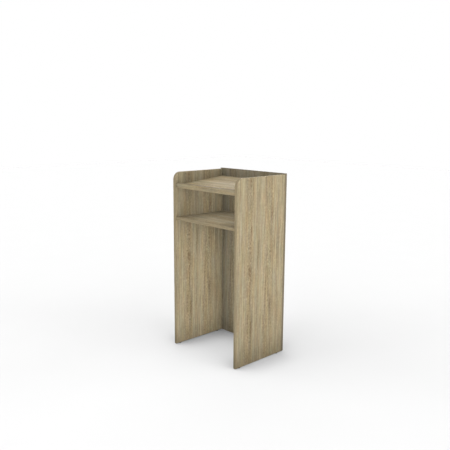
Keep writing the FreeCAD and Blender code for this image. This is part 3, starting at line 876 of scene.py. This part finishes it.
left_side, right_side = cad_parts["left_side_panel"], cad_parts["right_side_panel"]
floor_only = light_group("floor_only", "INCLUDE", floor)
all_but_floor = light_group("all_but_floor", "EXCLUDE", floor)
inner_faces = light_group("inner_faces", "EXCLUDE", floor, right_side)
sides_only = light_group("sides_only", "INCLUDE", left_side, right_side)


def add_light(name, kind, receivers):
    """A light of Blender's kind SUN or AREA that falls on its receivers."""
    data = bpy.data.lights.new(name, kind)
    data.cycles.use_multiple_importance_sampling = False
    light = bpy.data.objects.new(name, data)
    light.light_linking.receiver_collection = receivers
    bpy.context.scene.collection.objects.link(light)
    return light


def soft_light(name, turn, rise, strength, spread, receivers):
    """Light from far off. Its place is turned to the right of the front and raised, in degrees, and strength
    1 lights a white card square to it white. The floor doesn't stop light from below."""
    light = add_light(name, "SUN", receivers)
    light.data.angle, light.data.energy = math.radians(spread), math.pi * strength
    turn, rise = math.radians(turn), math.radians(rise)
    toward = (math.sin(turn) * math.cos(rise), -math.cos(turn) * math.cos(rise), math.sin(rise))
    light.rotation_euler = Vector(toward).to_track_quat("Z", "Y").to_euler()
    if rise < 0:
        light.light_linking.blocker_collection = all_but_floor


# Each light: its turn, rise, strength and spread.
LECTERN_LIGHTS = {"top_light": (0, 90, 0.339, 30), "right_light": (130, 5, 0.182, 30),
                  "front_light": (65, 5, 0.145, 30), "rear_light": (-135, 10, 0.22, 30)}
INNER_GLOW = (80, -55, 0.329, 30)
FLOOR_WASHES = [(-90, 40, 0.337, 100), (-45, 20, 0.345, 60), (0, 20, 0.453, 60), (90, 20, 0.606, 60),
                (135, 20, 0.288, 60)]
for name, light in LECTERN_LIGHTS.items():
    soft_light(name, *light, all_but_floor)
soft_light("inner_glow", *INNER_GLOW, inner_faces)
for wash in FLOOR_WASHES:
    soft_light(f"floor_wash_{wash[0]}", *wash, floor_only)
print("soft lights", [light.name for light in bpy.data.lights])

# %% [markdown]
# Three glowing panels, which the camera doesn't see, do what bounced light would. A wide one lies on the
# floor to the right, and lights the foot of the right side less than the rest, as a white floor does. The
# ambient light leaves the compartment above the shelf too dark, so a small panel stands in its opening, and
# another one halfway in lights only the rear of the two sides.

# %% Glowing panels
FLOOR_GLOW_GAP, FLOOR_GLOW_SIZE, FLOOR_GLOW_POWER = 0.7, (3.0, 5.0), 46.0
OPENING_Y, OPENING_SIZE, OPENING_POWER = -0.21, (0.3, 0.1), 0.17
HALFWAY_Y, HALFWAY_SIZE, HALFWAY_POWER = 0.0, (0.3, 0.12), 0.28
UPWARD, REARWARD = (180, 0, 0), (90, 0, 0)


def panel_light(name, place, turn, size, power, receivers):
    """Light from a glowing rectangle. Unturned it faces down; the turn is in degrees about x, y and z."""
    light = add_light(name, "AREA", receivers)
    light.data.shape, light.data.energy = "RECTANGLE", power
    light.data.size, light.data.size_y = size
    light.location, light.rotation_euler = place, np.radians(turn)
    light.visible_camera = False


floor_glow = (cad_box[1][0] + FLOOR_GLOW_GAP + FLOOR_GLOW_SIZE[0] / 2, 0.0, 1 * MM)
half_height = (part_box("shelf")[1][2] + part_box("reading_board")[0][2]) / 2
panel_light("floor_glow", floor_glow, UPWARD, FLOOR_GLOW_SIZE, FLOOR_GLOW_POWER, all_but_floor)
panel_light("opening_glow", (0.0, OPENING_Y, half_height), REARWARD, OPENING_SIZE, OPENING_POWER,
            all_but_floor)
panel_light("side_glow", (0.0, HALFWAY_Y, half_height), REARWARD, HALFWAY_SIZE, HALFWAY_POWER, sides_only)
print("panels at", floor_glow, "and at a height of", round(half_height, 3), "m")

# %% [markdown]
# ## The camera
#
# The camera stands to the right of the speaker's place, a little above the lectern's top, and looks slightly
# down. Its place, turn and focal length follow from where the boards' straight edges fall in a picture of 450
# pixels: the matrix holds its right, up and backward directions, and the lens turns the focal length in
# pixels into millimetres of a 36 mm sensor.

# %% Point the camera
PICTURE, FOCAL, SENSOR = 450, 585.547, 36.0
EYE = (2.7351, -2.6434, 1.54167)
AZIMUTH, ELEVATION, ROLL = np.radians([46.3533, 10.2867, 0.3294])
forward = np.array([-np.sin(AZIMUTH), np.cos(AZIMUTH), 0.0])
back = np.array([0.0, 0.0, np.sin(ELEVATION)]) - forward * np.cos(ELEVATION)
level = np.array([np.cos(AZIMUTH), np.sin(AZIMUTH), 0.0])
upright = np.cross(back, level)
right = level * np.cos(ROLL) + upright * np.sin(ROLL)
up = upright * np.cos(ROLL) - level * np.sin(ROLL)
lens = bpy.data.cameras.new("camera")
lens.sensor_fit, lens.sensor_width, lens.lens = "HORIZONTAL", SENSOR, FOCAL * SENSOR / PICTURE
camera = bpy.data.objects.new("camera", lens)
turned_camera = Matrix(np.stack([right, up, back], 1).tolist()).to_4x4()
camera.matrix_world = Matrix.Translation(EYE) @ turned_camera
bpy.context.scene.collection.objects.link(camera)
bpy.context.scene.camera = camera
print("camera at", EYE, "lens", round(lens.lens, 3), "mm")

# %% [markdown]
# ## Finish
#
# The scene is brought up to date.

# %% Update the scene
bpy.context.view_layer.update()
